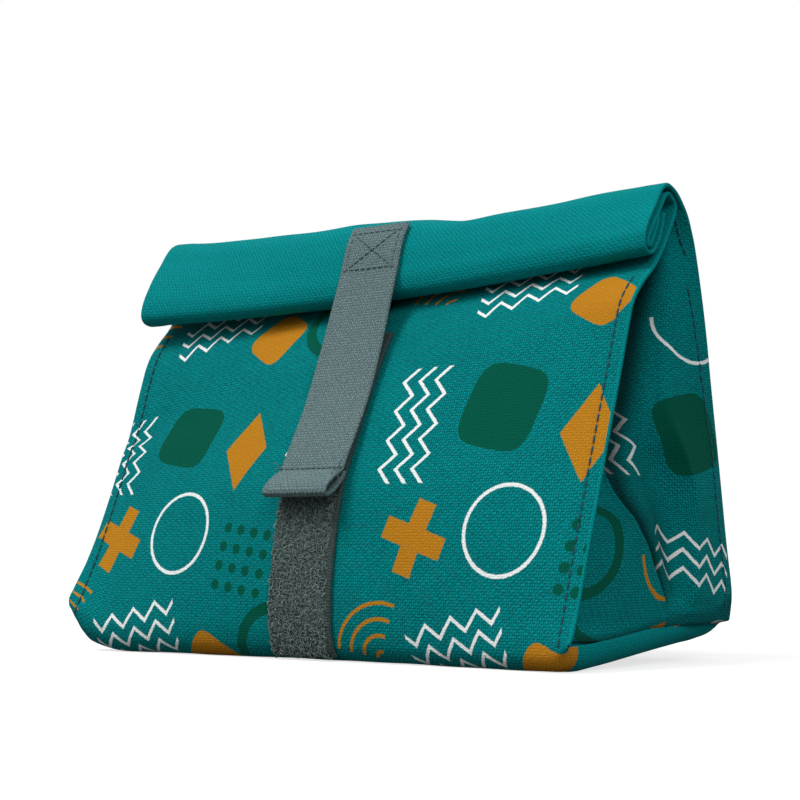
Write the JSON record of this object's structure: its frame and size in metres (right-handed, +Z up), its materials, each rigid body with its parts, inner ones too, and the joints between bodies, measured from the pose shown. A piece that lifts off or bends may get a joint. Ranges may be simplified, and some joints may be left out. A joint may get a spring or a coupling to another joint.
{
  "type": "snack bag",
  "caption": "Wedge-shaped cloth snack bag with folded side gussets, a rolled-over mouth and a webbing strap that closes on a loop tape down its front.",
  "frame": {"origin": "middle of the base, on the surface the bag stands on", "axes": "+X along the bag's width, to the right when it is seen from the front; +Y from front to back; +Z up"},
  "size_m": [0.2084, 0.0969, 0.1463],
  "materials": {
    "teal_cloth": "coarse canvas",
    "webbing": "woven webbing",
    "loop_pile": "fuzzy loop pile",
    "hook_tape": "hook pile",
    "teal_thread": "sewing thread",
    "grey_thread": "sewing thread"
  },
  "bodies": {
    "bag": {"body_wrap": "teal_cloth", "left_gusset": "teal_cloth", "right_gusset": "teal_cloth", "neck_left_tuck": "teal_cloth", "neck_right_tuck": "teal_cloth", "loop_tape": "loop_pile", "front_left_edge_stitch": "teal_thread", "front_right_edge_stitch": "teal_thread", "back_left_edge_stitch": "teal_thread", "back_right_edge_stitch": "teal_thread", "crown_fold": "teal_cloth"},
    "roll_crown": {"crown_back_ply": "teal_cloth", "crown_front_ply": "teal_cloth", "crown_left_tuck": "teal_cloth", "crown_right_tuck": "teal_cloth", "brow_fold": "teal_cloth"},
    "roll_brow": {"brow_back_ply": "teal_cloth", "brow_front_ply": "teal_cloth", "brow_left_tuck": "teal_cloth", "brow_right_tuck": "teal_cloth", "foot_fold": "teal_cloth", "strap_anchor": "webbing", "strap_box_stitch": "grey_thread"},
    "roll_foot": {"foot_back_ply": "teal_cloth", "foot_left_tuck": "teal_cloth", "foot_right_tuck": "teal_cloth", "hem_fold": "teal_cloth"},
    "roll_hem": {"hem_back_ply": "teal_cloth", "hem_front_ply": "teal_cloth", "hem_left_tuck": "teal_cloth", "hem_right_tuck": "teal_cloth"},
    "strap": {"closure_strap": "webbing", "hook_tape": "hook_tape", "tab_stitch": "grey_thread"},
    "pull_tab": {"pull_tab": "webbing"}
  },
  "joints": [
    {"name": "crown_unroll", "type": "hinge", "parent": "bag", "child": "roll_crown", "pos_m": [0, 0.011, 0.143], "axis": [-1, 0, 0], "range_deg": [0, 85], "deforming": ["crown_fold"]},
    {"name": "brow_unroll", "type": "hinge", "parent": "roll_crown", "child": "roll_brow", "pos_m": [0, -0.00449, 0.143], "axis": [-1, 0, 0], "range_deg": [0, 68], "deforming": ["brow_fold"]},
    {"name": "foot_unroll", "type": "hinge", "parent": "roll_brow", "child": "roll_foot", "pos_m": [0, -0.011, 0.12409], "axis": [-1, 0, 0], "range_deg": [0, 104], "deforming": ["foot_fold"]},
    {"name": "hem_unroll", "type": "hinge", "parent": "roll_foot", "child": "roll_hem", "pos_m": [0, -0.0036, 0.12409], "axis": [-1, 0, 0], "range_deg": [0, 68], "deforming": ["hem_fold"]},
    {"name": "strap_peel", "type": "hinge", "parent": "roll_brow", "child": "strap", "pos_m": [0, -0.01467, 0.12879], "axis": [-1, 0, 0], "range_deg": [0, 120]},
    {"name": "tab_lift", "type": "hinge", "parent": "strap", "child": "pull_tab", "pos_m": [0, -0.0428, 0.06013], "axis": [-1, 0, 0], "range_deg": [0, 75]}
  ],
  "couplings": [
    {"joint": "brow_unroll", "follows": "crown_unroll", "ratio": 0.78889},
    {"joint": "foot_unroll", "follows": "crown_unroll", "ratio": 1.2111},
    {"joint": "hem_unroll", "follows": "crown_unroll", "ratio": 0.78889}
  ]
}
